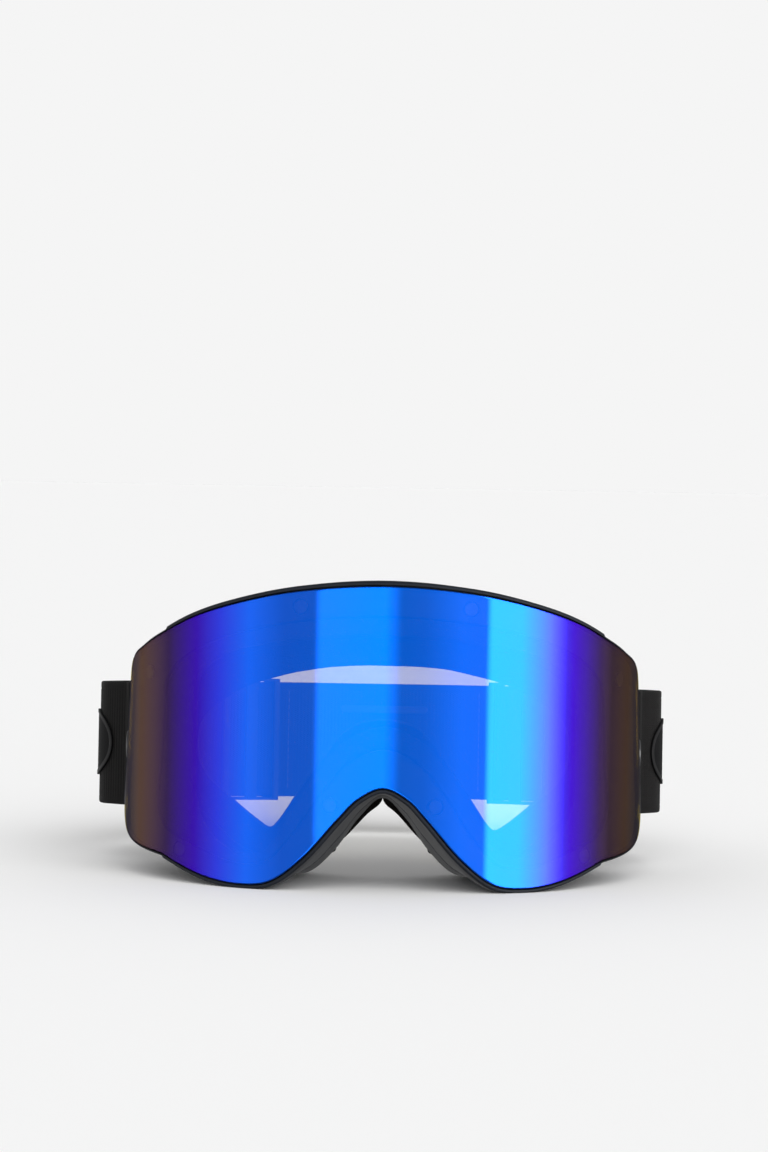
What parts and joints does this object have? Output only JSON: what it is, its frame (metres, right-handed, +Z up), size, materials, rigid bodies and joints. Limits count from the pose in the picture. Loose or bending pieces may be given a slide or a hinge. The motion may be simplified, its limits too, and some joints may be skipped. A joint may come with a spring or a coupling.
{
  "type": "ski goggles",
  "caption": "Frameless ski goggles with a wrap-round mirrored double lens held by magnets, vented soft frame, layered face foam and an adjustable elastic head strap on swinging clips.",
  "frame": {"origin": "centre of the bounding box's bottom face, on the surface the two frame lobes rest on", "axes": "+Z up, -Y the way the wearer looks (out of the lens), +X to the right when the lens is seen from the front"},
  "size_m": [0.2067, 0.173, 0.1049],
  "materials": {
    "moulded_frame": "satin",
    "side_arm": "satin",
    "strap_post": "satin",
    "vent_foam": "matte",
    "face_foam": "matte",
    "face_fleece": "matte",
    "mirror_lens": "polished",
    "inner_lens": "polished",
    "lens_gasket": "matte",
    "lens_carrier": "satin",
    "magnet": "polished",
    "strap_webbing": "matte",
    "strap_clip": "satin",
    "strap_badge": "satin",
    "silicone_grip": "satin",
    "slider": "satin"
  },
  "bodies": {
    "goggle_frame": {"frame": "moulded_frame", "frame_magnet_1": "magnet", "frame_magnet_2": "magnet", "frame_magnet_3": "magnet", "frame_magnet_4": "magnet", "frame_magnet_5": "magnet", "frame_magnet_6": "magnet", "frame_magnet_7": "magnet", "frame_magnet_8": "magnet", "side_arm_left": "side_arm", "side_arm_right": "side_arm", "strap_post_left": "strap_post", "strap_post_right": "strap_post", "vent_foam_top": "vent_foam", "vent_foam_left": "vent_foam", "vent_foam_right": "vent_foam", "foam_base": "face_foam", "foam_fleece": "face_fleece", "nose_flap_left": "face_foam", "nose_flap_right": "face_foam"},
    "lens_unit": {"outer_lens": "mirror_lens", "inner_lens": "inner_lens", "lens_gasket": "lens_gasket", "lens_carrier": "lens_carrier", "lens_magnet_1": "magnet", "lens_magnet_2": "magnet", "lens_magnet_3": "magnet", "lens_magnet_4": "magnet", "lens_magnet_5": "magnet", "lens_magnet_6": "magnet", "lens_magnet_7": "magnet", "lens_magnet_8": "magnet"},
    "strap": {"strap_webbing": "strap_webbing", "strap_clip_left": "strap_clip", "strap_clip_right": "strap_clip", "strap_badge_left": "strap_badge", "strap_badge_right": "strap_badge", "grip_strip_1": "silicone_grip", "grip_strip_2": "silicone_grip", "grip_strip_3": "silicone_grip"},
    "slider_left": {"slider_left": "slider"},
    "slider_right": {"slider_right": "slider"}
  },
  "joints": [
    {"name": "lens_pull", "type": "slide", "parent": "goggle_frame", "child": "lens_unit", "axis": [0, -1, 0], "range_m": [0, 0.06]},
    {"name": "strap_swing", "type": "hinge", "parent": "goggle_frame", "child": "strap", "pos_m": [0, -0.021, 0.043], "axis": [1, 0, 0], "range_deg": [-30, 40]},
    {"name": "slider_left_slide", "type": "slide", "parent": "strap", "child": "slider_left", "axis": [-0.9478, -0.3182, 0.0189], "range_m": [-0.01, 0.01]},
    {"name": "slider_right_slide", "type": "slide", "parent": "strap", "child": "slider_right", "axis": [0.9478, -0.3182, 0.0189], "range_m": [-0.01, 0.01]}
  ]
}
